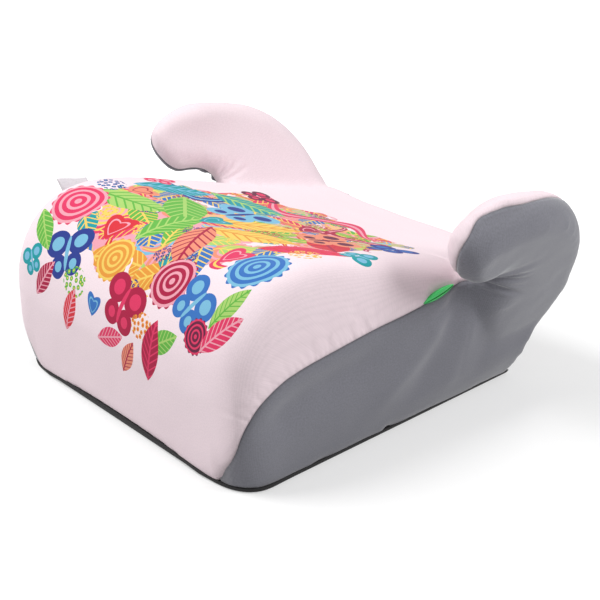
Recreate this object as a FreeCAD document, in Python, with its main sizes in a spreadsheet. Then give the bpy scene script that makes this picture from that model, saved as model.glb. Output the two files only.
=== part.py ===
import FreeCAD, Part
import math
import os

Vector = FreeCAD.Vector
Placement = FreeCAD.Placement
Rotation = FreeCAD.Rotation

os.makedirs("parts", exist_ok=True)
doc = FreeCAD.newDocument("BoosterSeat")

# Driving dimensions in millimetres. Front faces -Y, the child's left is +X, the floor is z = 0.
DIMENSIONS = (
    ("front_face", -205.5, "front of the cushion"),
    ("rear_foot", 152.5, "rear face at floor level"),
    ("rear_slope", 0.34, "rearward lean of the rear face per unit of height"),
    ("crest_run", 82.0, "depth of the rounded front"),
    ("crest_height", 171.0, "seat height at the crest, on the centre line"),
    ("cap_height", 82.0, "height where the front starts to round over"),
    ("rear_height", 113.0, "seat height at the rear"),
    ("floor_half_front", 185.0, "half width at floor level, front"),
    ("floor_half_rear", 159.0, "half width at floor level, rear"),
    ("side_half", 188.0, "half width at the fullest height, front"),
    ("side_half_rear", 180.0, "half width at the fullest height, rear"),
    ("form_length", 397.0, "depth over which the side and top lines run out"),
    ("front_lean", 0.05, "forward lean of the front face per unit of height"),
    ("notch_flare", 0.045, "widening of the shoulder at the belt notch, as a share"),
    ("corner_width", 24.0, "front corner rounding across the seat, at the fullest height"),
    ("corner_foot", 62.0, "front corner rounding across the seat, at floor level"),
    ("corner_depth", 31.0, "front corner rounding along the seat"),
    ("rim_front", 12.0, "rise of the side rim over the centre, front"),
    ("rim_rear", 3.0, "rise of the side rim over the centre, rear"),
    ("shoulder_front", 6.0, "drop of the shoulder below the rim, front"),
    ("shoulder_rear", -10.0, "drop of the shoulder below the rim, rear"),
    ("arm_offset", 206.3, "armrest centre plane, half width at its origin"),
    ("arm_splay", 0.47, "outward lean of the armrest per unit of height"),
    ("arm_toe", 0.10, "outward turn of the armrest towards the front"),
    ("arm_half_tip", 19.8, "half thickness of the armrest at the tip"),
    ("arm_half_root", 28.0, "half thickness of the armrest at the root"),
    ("arm_drop", 12.0, "outer side of the armrest below its middle"),
    ("arm_push", 5.9, "outer side of the armrest behind its middle"),
    ("fabric", 3.0, "fabric with its quilted backing"),
    ("gap", 0.3, "clearance between layers"),
    ("pad_side", 12.4, "foam on the side walls"),
    ("pad_top", 26.4, "foam on the seat deck"),
    ("pad_arm", 5.0, "foam on the armrests"),
    ("wall", 2.6, "moulded wall"),
    ("skirt_height", 16.0, "height of the base rim"),
    ("hem_side", 4.5, "bottom of the cover above the floor at the sides"),
    ("hem_front", 10.0, "bottom of the cover above the floor at mid front"),
    ("rear_panel_half", 128.0, "half width of the rear panel"),
    ("band_height", 3.2, "elastic binding of the hem"),
    ("guide_length", 47.0, "belt guide, end to end"),
    ("guide_width", 12.5, "belt guide, across"),
    ("guide_rise", 4.0, "belt guide above the cover"),
    ("guide_tongue", 9.0, "tongue of the belt guide"),
    ("label_length", 24.0, "folded tab, along the rim"),
    ("label_height", 13.0, "folded tab, out of the seam"),
    ("label_spread", 4.6, "folded tab, across its open fold"),
    ("label_thick", 0.8, "woven tape of the folded tab"),
    ("rib_pitch", 58, "spacing of the ribs under the deck"),
    ("rib_thick", 2.0, "thickness of a rib"),
)

sheet = doc.addObject("Spreadsheet::Sheet", "Sizes")
for row, (alias, value, note) in enumerate(DIMENSIONS, start=1):
    sheet.set("A%d" % row, alias)
    sheet.set("B%d" % row, str(value))
    sheet.set("C%d" % row, note)
    sheet.setAlias("B%d" % row, alias)
doc.recompute()


def size(alias):
    return float(sheet.get(alias))


# ---------------------------------------------------------------- helpers
def spline(points):
    curve = Part.BSplineCurve()
    curve.interpolate(Points=points, Parameters=[float(k) for k in range(len(points))])
    return curve


def closed_section(name, placement, arcs, plain=False):
    """A sketch on its own plane whose outline is a ring of splines and lines, or only of lines if it is plain."""
    sketch = doc.addObject("Sketcher::SketchObject", name)
    sketch.Placement = placement
    for arc in arcs:
        if plain or len(arc) == 2:
            for start, end in zip(arc[:-1], arc[1:]):
                sketch.addGeometry(Part.LineSegment(start, end), False)
        else:
            sketch.addGeometry(spline(arc), False)
    return sketch


def loft(name, sections, plain=False):
    body = doc.addObject("Part::Loft", name)
    body.Sections = sections
    body.Solid = True
    body.Ruled = plain
    body.MaxDegree = 3
    return body


def cut(name, base, tool):
    result = doc.addObject("Part::Cut", name)
    result.Base = base
    result.Tool = tool
    return result


def common(name, *shapes):
    result = doc.addObject("Part::MultiCommon", name)
    result.Shapes = list(shapes)
    return result


def fuse(name, *shapes):
    result = doc.addObject("Part::MultiFuse", name)
    result.Shapes = list(shapes)
    return result


def mirrored(name, source):
    twin = doc.addObject("Part::Mirroring", name)
    twin.Source = source
    twin.Base = Vector(0, 0, 0)
    twin.Normal = Vector(1, 0, 0)
    return twin


def slab(name, corner, extent):
    box = doc.addObject("Part::Box", name)
    box.Length, box.Width, box.Height = extent
    box.Placement.Base = Vector(*corner)
    return box


# ---------------------------------------------------------------- the cushion form
def rounded(share):
    """Height share of a quarter-round profile, 0 at its foot and 1 at its crest."""
    share = min(1.0, max(0.0, share))
    return math.sqrt(1.0 - (1.0 - share) ** 2)


def cushion_half_section(run, inset, top_inset, floor):
    """Half outline (x, z) of the cushion at a distance behind its front, from floor to centre."""
    length = size("form_length")
    along = run / length
    crest = size("crest_height")
    lift = rounded(run / size("crest_run"))
    height = size("cap_height") + (crest - size("cap_height")) * lift
    if run > size("crest_run"):
        back = min(1.0, (run - size("crest_run")) / (length - size("crest_run")))
        fall = 0.35 * back + 0.65 * back * back * (3.0 - 2.0 * back)
        height = crest + (size("rear_height") - crest) * fall
    height -= top_inset
    corner = 1.0 - rounded(run / size("corner_depth"))
    foot = size("floor_half_front") + (size("floor_half_rear") - size("floor_half_front")) * along
    foot -= inset + corner * size("corner_foot")
    side = size("side_half") + (size("side_half_rear") - size("side_half")) * along ** 2
    side -= inset + corner * size("corner_width")
    rim = (size("rim_front") + (size("rim_rear") - size("rim_front")) * along) * lift
    shoulder = size("shoulder_front") + (size("shoulder_rear") - size("shoulder_front")) * along
    flare = size("notch_flare") * math.exp(-((run - 245.0) / 80.0) ** 2)
    belly = 0.42 * height
    return [
        Vector(foot, floor, 0),
        Vector(foot + 0.70 * (side - foot), 0.5 * belly, 0),
        Vector(side, belly, 0),
        Vector((0.985 + flare) * side, 0.78 * height + 0.5 * shoulder, 0),
        Vector((0.90 + flare) * side, height + 0.3 * shoulder + 0.4 * rim, 0),
        Vector(0.74 * side, height + rim, 0),
        Vector(0.45 * side, height + 0.35 * rim, 0),
        Vector(0, height, 0),
    ]


def cushion_form(name, inset, top_inset, floor=0.0):
    """Loft of upright cross-sections, cut by the leaning rear face."""
    crest_run = size("crest_run")
    shares = [1.0 - math.cos(math.radians(turn)) for turn in (0, 18, 36, 54, 72, 90)]
    runs = [crest_run * share for share in shares] + [160.0, 225.0, 285.0, 340.0, 380.0, 430.0]
    sections = []
    for index, run in enumerate(runs):
        half = cushion_half_section(run, inset, top_inset, floor)
        other = [Vector(-point.x, point.y, 0) for point in reversed(half[:-1])]
        lean = size("front_lean") * max(0.0, 1.0 - run / crest_run)
        place = Placement(Vector(0, 0, 0), Rotation(Vector(1, 0, 0), 90 + math.degrees(math.atan(lean))))
        sketch = closed_section("%s_section_%d" % (name, index), place,
                                [half + other, [other[-1], half[0]]], inset > 0)
        sketch.setExpression("Placement.Base.y", "Sizes.front_face + %.4f" % (inset + run + lean * size("cap_height")))
        sections.append(sketch)
    form = loft(name + "_loft", sections, inset > 0)
    lean = math.degrees(math.atan(size("rear_slope")))
    rear = slab(name + "_rear_cut", (0, 0, 0), (700, 300, 700))
    rear.Placement = Placement(Vector(-350, size("rear_foot") - inset, 0), Rotation(Vector(1, 0, 0), -lean))
    low = doc.addObject("Part::Box", name + "_rear_cut_low")
    low.Length, low.Width, low.Height = 700, 400, 200
    low.Placement.Base = Vector(-350, size("rear_foot") - inset, -200)
    return cut(name, form, fuse(name + "_rear_tool", rear, low))


# ---------------------------------------------------------------- the armrest form
# Side profile of the left armrest: (y, z, edge rounding), from the notch round the tip and back.
ARM_PROFILE = (
    (65.5, 140.5, 17), (36, 152.5, 15), (14.5, 156.5, 16), (-1.5, 185, 17), (22.5, 206, 19), (69, 213, 22),
    (110.5, 210.5, 25), (146.5, 197, 26), (176.5, 168, 26), (190.5, 141, 26), (198.5, 114, 26), (193.5, 84, 22),
    (163.5, 40, 14), (121, 19, 22), (83, 46, 34), (69.5, 92, 32),
)
ARM_ORIGIN = (66.5, 150.0)



def arm_plane(share):
    """Placement of the armrest's section plane: share -1 is its inner side, +1 its outer side."""
    half_mid = 0.5 * (size("arm_half_tip") + size("arm_half_root"))
    growth = (size("arm_half_root") - size("arm_half_tip")) / 150.0
    slope_y = -size("arm_toe") + share * growth
    slope_z = size("arm_splay")
    origin = Vector(size("arm_offset") + share * half_mid, ARM_ORIGIN[0], ARM_ORIGIN[1])
    along = Vector(slope_y, 1, 0).normalize()
    normal = Vector(1, -slope_y, -slope_z).normalize()
    up = normal.cross(along)
    return Placement(origin, Rotation(along, up, normal, "XYZ")), slope_y, slope_z


def arm_section(name, share, rounding, inset):
    place, slope_y, slope_z = arm_plane(share)
    count = len(ARM_PROFILE)
    outline = []
    for index, (y, z, radius) in enumerate(ARM_PROFILE):
        before = ARM_PROFILE[index - 1]
        after = ARM_PROFILE[(index + 1) % count]
        run_y, run_z = after[0] - before[0], after[1] - before[1]
        length = math.hypot(run_y, run_z)
        depth = inset + rounding * max(radius - 1.8 * inset, 1.0)
        edge_y = y + depth * run_z / length + share * size("arm_push")
        edge_z = z - depth * run_y / length - share * size("arm_drop")
        x = place.Base.x + slope_y * (edge_y - ARM_ORIGIN[0]) + slope_z * (edge_z - ARM_ORIGIN[1])
        local = place.inverse().multVec(Vector(x, edge_y, edge_z))
        outline.append(Vector(local.x, local.y, 0))
    turn = 10
    return closed_section(name, place, [outline[:turn + 1], outline[turn:] + outline[:1]], inset > 0)


def arm_form(name, inset):
    """Loft across the armrest's thickness, through seven side profiles."""
    stations = ((-1.0, 0.80), (-0.88, 0.45), (-0.60, 0.17), (0.0, 0.0), (0.60, 0.17), (0.88, 0.45), (1.0, 0.80))
    half_mid = 0.5 * (size("arm_half_tip") + size("arm_half_root"))
    reach = (half_mid - inset) / half_mid
    sections = []
    for index, (share, rounding) in enumerate(stations):
        sections.append(arm_section("%s_section_%d" % (name, index), share * reach, rounding, inset))
    return loft(name, sections, inset > 0)




def arm_half_space(name):
    """Everything on the outer side of the left armrest's centre plane."""
    place, slope_y, slope_z = arm_plane(0.0)
    box = doc.addObject("Part::Box", name)
    box.Length, box.Width, box.Height = 700, 700, 300
    box.Placement = place.multiply(Placement(Vector(-350, -350, 0), Rotation()))
    return box


def side_prism(name, outline, inner, outer):
    """Prism of a side-view outline (y, z), from one width to another."""
    sketch = doc.addObject("Sketcher::SketchObject", name + "_outline")
    sketch.Placement = Placement(Vector(inner, 0, 0), Rotation(Vector(0, 1, 0), Vector(0, 0, 1), Vector(1, 0, 0), "XYZ"))
    for piece in outline:
        points = [Vector(y, z, 0) for y, z in piece]
        if len(points) == 2:
            sketch.addGeometry(Part.LineSegment(points[0], points[1]), False)
        else:
            curve = Part.BSplineCurve()
            curve.interpolate(points)
            sketch.addGeometry(curve, False)
    prism = doc.addObject("Part::Extrusion", name)
    prism.Base = sketch
    prism.DirMode = "Normal"
    prism.LengthFwd = outer - inner
    prism.Solid = True
    return prism


def outline_ring(points, curved=()):
    """Straight pieces through the points; curved replaces the first pieces by one spline."""
    pieces = [list(curved)] if curved else []
    chain = ([curved[-1]] if curved else []) + list(points)
    chain.append(curved[0] if curved else points[0])
    for start, end in zip(chain[:-1], chain[1:]):
        pieces.append([start, end])
    return pieces


# ---------------------------------------------------------------- nested forms
fabric, gap, wall = size("fabric"), size("gap"), size("wall")
foam_skin = fabric + gap
tub_side = foam_skin + size("pad_side") + gap
tub_top = foam_skin + size("pad_top") + gap
core_skin = foam_skin + size("pad_arm") + gap

body_outer = cushion_form("body_outer", 0.0, 0.0)
body_lining = cushion_form("body_lining", fabric, fabric, -5.0)
body_foam = cushion_form("body_foam", foam_skin, foam_skin, -5.0)
body_foam_inner = cushion_form("body_foam_inner", tub_side - gap, tub_top - gap, -5.0)
body_skirt_inner = cushion_form("body_skirt_inner", foam_skin + wall, foam_skin + wall, -5.0)
body_tub = cushion_form("body_tub", tub_side, tub_top, 0.0)
body_tub_inner = cushion_form("body_tub_inner", tub_side + wall, tub_top + wall, -5.0)

arm_outer = arm_form("arm_outer", 0.0)
arm_lining = arm_form("arm_lining", fabric)
arm_foam = arm_form("arm_foam", foam_skin)
arm_core = arm_form("arm_core", core_skin)
arm_socket = arm_form("arm_socket", core_skin - gap)
arm_socket_wall = arm_form("arm_socket_wall", core_skin - gap - 2.4)
arm_core_inner = arm_form("arm_core_inner", core_skin + 2.5)

# ---------------------------------------------------------------- cutting tools
SEAM = ((-197.5, -12), (-199.3, 10), (-200.6, 28), (-196.8, 55), (-190, 71.5), (-179.5, 84.5), (-161.5, 95),
        (-140, 101.5), (-96, 109), (-61.5, 114), (-27, 118.5), (18, 125.5), (62, 132))
seam_prism = side_prism("seam_prism", outline_ring([(62, -12)], SEAM), 150.0, 260.0)
arm_zone = side_prism("arm_zone", outline_ring(
    [(62, -12), (62, 128), (38, 141), (13, 147), (-64, 150), (-64, 270), (270, 270), (270, -12)]), -20.0, 320.0)
root_zone = side_prism("root_zone", outline_ring([(58, -12), (58, 130.5), (90, 136), (90, -12)]), 185.0, 260.0)
side_tool = fuse("side_tool", seam_prism, root_zone,
                 common("arm_outer_zone", arm_zone, arm_half_space("arm_outer_half")))
side_tool_right = mirrored("side_tool_right", side_tool)

hem_side, hem_front = size("hem_side"), size("hem_front")


def hem_prism(name, drop, floor):
    """Everything under the hem line, which arches over the middle of the front."""
    sketch = doc.addObject("Sketcher::SketchObject", name + "_outline")
    sketch.Placement = Placement(Vector(0, 260, 0), Rotation(Vector(1, 0, 0), 90))
    arch = [Vector(-170, hem_side - drop, 0), Vector(-95, 0.45 * hem_side + 0.55 * hem_front - drop, 0),
            Vector(0, hem_front - drop, 0), Vector(95, 0.45 * hem_side + 0.55 * hem_front - drop, 0),
            Vector(170, hem_side - drop, 0)]
    curve = Part.BSplineCurve()
    curve.interpolate(Points=arch, InitialTangent=Vector(1, 0, 0), FinalTangent=Vector(1, 0, 0))
    sketch.addGeometry(curve, False)
    corners = [arch[-1], Vector(260, hem_side - drop, 0), Vector(260, floor, 0), Vector(-260, floor, 0),
               Vector(-260, hem_side - drop, 0), arch[0]]
    for start, end in zip(corners[:-1], corners[1:]):
        sketch.addGeometry(Part.LineSegment(start, end), False)
    prism = doc.addObject("Part::Extrusion", name)
    prism.Base = sketch
    prism.DirMode = "Normal"
    prism.LengthFwd = 520
    prism.Solid = True
    return prism


hem_tool = hem_prism("hem_tool", 0.0, -40.0)

# ---------------------------------------------------------------- belt guides
def polar_placement(origin, along, normal):
    """Placement whose x axis runs along and whose z axis is the normal."""
    z_axis = Vector(*normal).normalize()
    y_axis = z_axis.cross(Vector(*along)).normalize()
    x_axis = y_axis.cross(z_axis)
    return Placement(Vector(*origin), Rotation(x_axis, y_axis, z_axis, "XYZ"))


def origin_plane(body, role):
    for feature in body.Origin.OriginFeatures:
        if feature.Role == role:
            return feature
    raise ValueError(role)


def body_sketch(body, name, role="XY_Plane", lift=0.0):
    sketch = body.newObject("Sketcher::SketchObject", name)
    sketch.AttachmentSupport = [(origin_plane(body, role), "")]
    sketch.MapMode = "FlatFace"
    sketch.AttachmentOffset = Placement(Vector(0, 0, lift), Rotation())
    return sketch


def leaf_outline(sketch, length, width, lean):
    """Leaf of two arcs that meet in points at both ends, with one side fuller than the other."""
    left, right = Vector(-0.5 * length, 0, 0), Vector(0.5 * length, 0, 0)
    upper = Vector(0, 0.5 * width + lean, 0)
    lower = Vector(0, -0.5 * width + lean, 0)
    sketch.addGeometry(Part.Arc(left, upper, right), False)
    sketch.addGeometry(Part.Arc(right, lower, left), False)


GUIDE_PLACE = polar_placement((184.0, 22.0, 127.0), (0.0, 0.98, 0.18), (0.86, -0.06, 0.50))


def belt_guide(name, grow, place):
    """Leaf-shaped guide with a belt groove, and a tongue pressed into the cushion."""
    body = doc.addObject("PartDesign::Body", name)
    leaf = body_sketch(body, name + "_leaf", lift=-3.0)
    leaf_outline(leaf, size("guide_length") + 2 * grow, size("guide_width") + 2 * grow, 1.5)
    plate = body.newObject("PartDesign::Pad", name + "_plate")
    plate.Profile = leaf
    if grow:
        plate.Length = size("guide_rise") + 3.0 + 8.0
        leaf.AttachmentOffset = Placement(Vector(0, 0, -3.0 - grow), Rotation())
    else:
        plate.setExpression("Length", "Sizes.guide_rise + 3")
    tongue_sketch = body_sketch(body, name + "_tongue_outline", lift=-3.0)
    half_long, half_wide = 9.0 + grow, 2.2 + grow
    corners = [Vector(-half_long, -half_wide, 0), Vector(half_long, -half_wide, 0),
               Vector(half_long, half_wide, 0), Vector(-half_long, half_wide, 0)]
    for index in range(4):
        tongue_sketch.addGeometry(Part.LineSegment(corners[index], corners[(index + 1) % 4]), False)
    tongue = body.newObject("PartDesign::Pad", name + "_tongue")
    tongue.Profile = tongue_sketch
    tongue.Length = size("guide_tongue") + grow
    tongue.Reversed = True
    if not grow:
        doc.recompute()
        groove_sketch = body_sketch(body, name + "_groove_outline", lift=size("guide_rise"))
        leaf_outline(groove_sketch, size("guide_length") - 9.0, size("guide_width") - 7.5, 0.5)
        groove = body.newObject("PartDesign::Pocket", name + "_groove")
        groove.Profile = groove_sketch
        groove.Length = 2.2
    body.Placement = place
    return body


guide_left = belt_guide("belt_guide_left", 0.0, GUIDE_PLACE)
guide_window = belt_guide("belt_guide_window", gap, GUIDE_PLACE)
guide_right = mirrored("belt_guide_right", guide_left)
guide_window_right = mirrored("belt_guide_window_right", guide_window)
guide_windows = fuse("belt_guide_windows", guide_window, guide_window_right)

# ---------------------------------------------------------------- cover
cover_outside = fuse("cover_outside", body_outer, arm_outer, mirrored("arm_outer_right", arm_outer))
arm_lining_right = mirrored("arm_lining_right", arm_lining)
cover_inside = fuse("cover_inside", body_lining, arm_lining, arm_lining_right)
cover_skin = cut("cover_skin", cover_outside, cover_inside)
cover_shell = cut("cover_shell", cut("cover_hemmed", cover_skin, hem_tool), guide_windows)

rear_zone = slab("rear_zone", (0, 0, 0), (2 * size("rear_panel_half"), 200, 400))
rear_zone.Placement = Placement(Vector(-size("rear_panel_half"), size("rear_foot") - 5.0 - 30 * size("rear_slope"), -30),
                                Rotation(Vector(1, 0, 0), -math.degrees(math.atan(size("rear_slope")))))
side_left = common("cover_side_panel_left", cover_shell, side_tool)
side_right = mirrored("cover_side_panel_right", side_left)
side_tools = fuse("side_tools", side_tool, side_tool_right)
cover_middle = cut("cover_middle", cover_shell, side_tools)
cover_main = cut("cover_main_panel", cover_middle, rear_zone)
cover_rear = common("cover_rear_panel", cover_middle, rear_zone)

band_height = size("band_height")
band_zone = cut("band_zone", hem_prism("band_top", 0.2, -40.0), hem_prism("band_bottom", 0.2 + band_height, -60.0))
hem_elastic = common("hem_elastic", cut("band_ring", body_outer, body_lining), band_zone)

# ---------------------------------------------------------------- foam
low_slab = slab("low_slab", (-300, -300, -50), (600, 600, 50 + size("skirt_height") + gap))
seat_foam = cut("seat_foam", cut("seat_foam_ring", body_foam, body_foam_inner),
                fuse("seat_foam_cuts", low_slab, arm_lining, arm_lining_right, guide_windows))
arm_foam_left = cut("armrest_foam_left", arm_foam, fuse("arm_foam_cuts", arm_socket, body_foam_inner, guide_window, low_slab))
arm_foam_right = mirrored("armrest_foam_right", arm_foam_left)

# ---------------------------------------------------------------- armrest cores
outer_half = arm_half_space("core_outer_half")
ARM_SCREWS = ((58.0, 178.0), (124.0, 172.0), (128.0, 84.0))


def across_arm(name, radius, depth_in, depth_out, spots):
    """Cylinders square to the armrest's centre plane, from an inner to an outer depth."""
    posts = []
    place, slope_y, slope_z = arm_plane(0.0)
    for index, (y, z) in enumerate(spots):
        x = place.Base.x + slope_y * (y - ARM_ORIGIN[0]) + slope_z * (z - ARM_ORIGIN[1])
        post = doc.addObject("Part::Cylinder", "%s_%d" % (name, index))
        post.Radius = radius
        post.Height = depth_out - depth_in
        shift = Placement(Vector(0, 0, depth_in), Rotation())
        post.Placement = Placement(Vector(x, y, z), place.Rotation).multiply(shift)
        posts.append(post)
    return fuse(name, *posts)


core_wall = cut("core_wall", arm_core, arm_core_inner)
bosses = common("core_bosses", across_arm("boss_posts", 4.5, -40.0, 40.0, ARM_SCREWS), arm_core)
core_bossed = fuse("core_bossed", core_wall, bosses)
core_outer = cut("core_outer_blank", common("core_outer_part", core_bossed, outer_half),
                 across_arm("boss_pilots", 1.5, -1.0, 9.0, ARM_SCREWS))
core_inner = cut("core_inner_blank", cut("core_inner_part", core_bossed, outer_half),
                 fuse("core_inner_holes", across_arm("boss_clearance", 2.1, -60.0, 1.0, ARM_SCREWS),
                      across_arm("boss_sinks", 4.0, -60.0, -7.0, ARM_SCREWS)))
core_outer.Label = "armrest_core_outer_left"
core_inner.Label = "armrest_core_inner_left"
core_outer_right = mirrored("armrest_core_outer_right", core_outer)
core_inner_right = mirrored("armrest_core_inner_right", core_inner)


def screw(name, head, shank, length, place):
    """Pan-head screw turned about its own axis, head at the origin and shank along +Z."""
    body = doc.addObject("PartDesign::Body", name)
    profile = body_sketch(body, name + "_profile", "XZ_Plane")
    rise = 0.7 * shank
    points = [Vector(0, -rise, 0), Vector(0.55 * head, -rise, 0), Vector(head, -0.35 * rise, 0), Vector(head, 0, 0),
              Vector(shank, 0, 0), Vector(shank, length, 0), Vector(0, length, 0)]
    for start, end in zip(points, points[1:] + points[:1]):
        profile.addGeometry(Part.LineSegment(start, end), False)
    turned = body.newObject("PartDesign::Revolution", name + "_turned")
    turned.Profile = profile
    turned.ReferenceAxis = (profile, ["V_Axis"])
    turned.Angle = 360
    body.Placement = place
    return body


arm_screws = []
place, slope_y, slope_z = arm_plane(0.0)
for index, (y, z) in enumerate(ARM_SCREWS):
    x = place.Base.x + slope_y * (y - ARM_ORIGIN[0]) + slope_z * (z - ARM_ORIGIN[1])
    seat = Placement(Vector(x, y, z), place.Rotation).multiply(Placement(Vector(0, 0, -6.9), Rotation()))
    left = screw("armrest_screw_%d" % index, 3.6, 1.7, 14.0, seat)
    arm_screws += [left, mirrored("armrest_screw_right_%d" % index, left)]
armrest_screws = doc.addObject("Part::Compound", "armrest_screws")
armrest_screws.Links = arm_screws

# ---------------------------------------------------------------- base shell
tub = cut("tub", body_tub, body_tub_inner)
flange_zone = slab("flange_zone", (-300, -300, size("skirt_height") - wall), (600, 600, wall))
skirt_zone = slab("skirt_zone", (-300, -300, 0), (600, 600, size("skirt_height")))
skirt_flange = common("skirt_flange", cut("skirt_band", body_foam, body_tub_inner), flange_zone)
skirt_wall = common("skirt_wall", cut("skirt_rim", body_foam, body_skirt_inner), skirt_zone)

ribs = []
pitch, thick = size("rib_pitch"), size("rib_thick")
for index in range(-2, 3):
    rib = slab("rib_long_%d" % (index + 2), (index * pitch - 0.5 * thick, -230, 4), (thick, 460, 200))
    rib.setExpression("Length", "Sizes.rib_thick")
    ribs.append(rib)
for index in range(5):
    rib = slab("rib_cross_%d" % index, (-230, -142 + index * pitch - 0.5 * thick, 4), (460, thick, 200))
    rib.setExpression("Width", "Sizes.rib_thick")
    ribs.append(rib)
rib_grid = common("rib_grid", fuse("rib_set", *ribs), cushion_form("body_rib", tub_side + 0.5 * wall, tub_top + 0.5 * wall, 0.0))
socket_wall_right = mirrored("arm_socket_wall_right", arm_socket_wall)
sockets = common("sockets", fuse("socket_walls", arm_socket_wall, socket_wall_right), body_tub)
shell_mass = fuse("shell_mass", tub, skirt_flange, skirt_wall, rib_grid, sockets)
socket_cuts = fuse("socket_cuts", arm_socket, mirrored("arm_socket_right", arm_socket), guide_windows)
base_shell = cut("base_shell", shell_mass, socket_cuts)

# ---------------------------------------------------------------- side label
def lens(sketch, half_high, half_wide):
    """Upright lens of two arcs, its lower end at the origin."""
    low, high = Vector(0, 0, 0), Vector(0, 2 * half_high, 0)
    sketch.addGeometry(Part.Arc(low, Vector(half_wide, half_high, 0), high), False)
    sketch.addGeometry(Part.Arc(high, Vector(-half_wide, half_high, 0), low), False)


label = doc.addObject("PartDesign::Body", "side_label")
label_sketch = body_sketch(label, "side_label_outline")
lens(label_sketch, 0.5 * size("label_height"), 0.5 * size("label_spread"))
label_pad = label.newObject("PartDesign::Pad", "side_label_loop")
label_pad.Profile = label_sketch
label_pad.setExpression("Length", "Sizes.label_length")
doc.recompute()
label_hollow = body_sketch(label, "side_label_hollow")
label_hollow.AttachmentOffset = Placement(Vector(0, 1.5 * size("label_thick"), 0), Rotation())
lens(label_hollow, 0.5 * size("label_height") - 1.5 * size("label_thick"), 0.5 * size("label_spread") - size("label_thick"))
label_fold = label.newObject("PartDesign::Pocket", "side_label_fold")
label_fold.Profile = label_hollow
label_fold.Type = "ThroughAll"
label_fold.Midplane = True
label.Placement = Placement(Vector(-166.0, -133.0, 168.0),
                            Rotation(Vector(0.88, 0.0, 0.48), Vector(-0.48, 0.0, 0.88), Vector(0, -1, 0), "XYZ"))
doc.recompute()

NODES = {
    "base_shell": base_shell,
    "armrest_core_outer_left": core_outer,
    "armrest_core_outer_right": core_outer_right,
    "armrest_core_inner_left": core_inner,
    "armrest_core_inner_right": core_inner_right,
    "armrest_screws": armrest_screws,
    "belt_guide_left": guide_left,
    "belt_guide_right": guide_right,
    "seat_foam": seat_foam,
    "armrest_foam_left": arm_foam_left,
    "armrest_foam_right": arm_foam_right,
    "cover_main_panel": cover_main,
    "cover_side_panel_left": side_left,
    "cover_side_panel_right": side_right,
    "cover_rear_panel": cover_rear,
    "hem_elastic": hem_elastic,
    "side_label": label,
}

failed = [entry.Name for entry in doc.Objects if "Invalid" in entry.State or "Error" in entry.State]
for node, piece in NODES.items():
    if piece.Shape.isNull() or not piece.Shape.isValid():
        failed.append(node)
if failed:
    raise RuntimeError("failed: " + ", ".join(failed))
for node, piece in NODES.items():
    piece.Label = node
    piece.Shape.exportStep("parts/%s.step" % node)
    print("%-28s %2d solid(s) %12.0f mm3" % (node, len(piece.Shape.Solids), piece.Shape.Volume))
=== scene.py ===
import math
import bmesh
import bpy
import numpy as np
from mathutils import Matrix, Vector, noise
from mathutils.bvhtree import BVHTree


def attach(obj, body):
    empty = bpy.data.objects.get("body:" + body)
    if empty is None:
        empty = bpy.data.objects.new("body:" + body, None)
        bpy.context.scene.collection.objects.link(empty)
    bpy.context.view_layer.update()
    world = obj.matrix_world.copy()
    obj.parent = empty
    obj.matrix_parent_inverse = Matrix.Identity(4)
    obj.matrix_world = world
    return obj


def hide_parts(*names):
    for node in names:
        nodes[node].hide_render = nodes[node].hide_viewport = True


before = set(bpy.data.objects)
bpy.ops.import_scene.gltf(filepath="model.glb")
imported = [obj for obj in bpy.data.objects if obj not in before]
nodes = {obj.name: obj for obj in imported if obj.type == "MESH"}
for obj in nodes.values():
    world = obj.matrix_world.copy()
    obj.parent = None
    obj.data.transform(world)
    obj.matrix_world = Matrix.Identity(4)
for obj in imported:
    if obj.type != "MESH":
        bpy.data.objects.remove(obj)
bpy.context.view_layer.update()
scene = bpy.context.scene
print("frame loaded,", len(nodes), "nodes")


# camera, round the seat's front left corner
camera = {
    "lens": 73.9,
    "distance": 1.225,          # metres from the target
    "turn": 49.75,              # degrees from straight ahead, towards the seat's left
    "rise": 22.3,
    "target": (0.0158, 0.0053, 0.0729),
}
turn, rise = math.radians(camera["turn"]), math.radians(camera["rise"])
away = Vector((math.sin(turn) * math.cos(rise), -math.cos(turn) * math.cos(rise), math.sin(rise)))
cameraData = bpy.data.cameras.new("seatCamera")
cameraData.lens = camera["lens"]
cameraData.sensor_width = 36.0
cameraObject = bpy.data.objects.new("seatCamera", cameraData)
scene.collection.objects.link(cameraObject)
cameraObject.location = Vector(camera["target"]) + away * camera["distance"]
cameraObject.rotation_euler = (-away).to_track_quat("-Z", "Y").to_euler()
scene.camera = cameraObject
scene.view_settings.view_transform = "Standard"
print("camera placed")


# small helpers for shader trees
def addNode(tree, kind, settings=None, values=None, links=None):
    node = tree.nodes.new(kind)
    for key, value in (settings or {}).items():
        setattr(node, key, value)
    for key, value in (values or {}).items():
        node.inputs[key].default_value = value
    for key, source in (links or {}).items():
        tree.links.new(source, node.inputs[key])
    return node


def maths(tree, operation, first, second=None, third=None, clamp=False):
    node = addNode(tree, "ShaderNodeMath", {"operation": operation, "use_clamp": clamp})
    for index, item in enumerate((first, second, third)):
        if item is None:
            continue
        if isinstance(item, (int, float)):
            node.inputs[index].default_value = item
        else:
            tree.links.new(item, node.inputs[index])
    return node.outputs[0]


def mixColour(tree, share, first, second, blend="MIX"):
    settings = {"data_type": "RGBA", "blend_type": blend, "clamp_factor": True}
    node = addNode(tree, "ShaderNodeMix", settings)
    for index, item in ((0, share), (6, first), (7, second)):
        if hasattr(item, "links"):
            tree.links.new(item, node.inputs[index])
        else:
            node.inputs[index].default_value = item
    return node.outputs[2]


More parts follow.
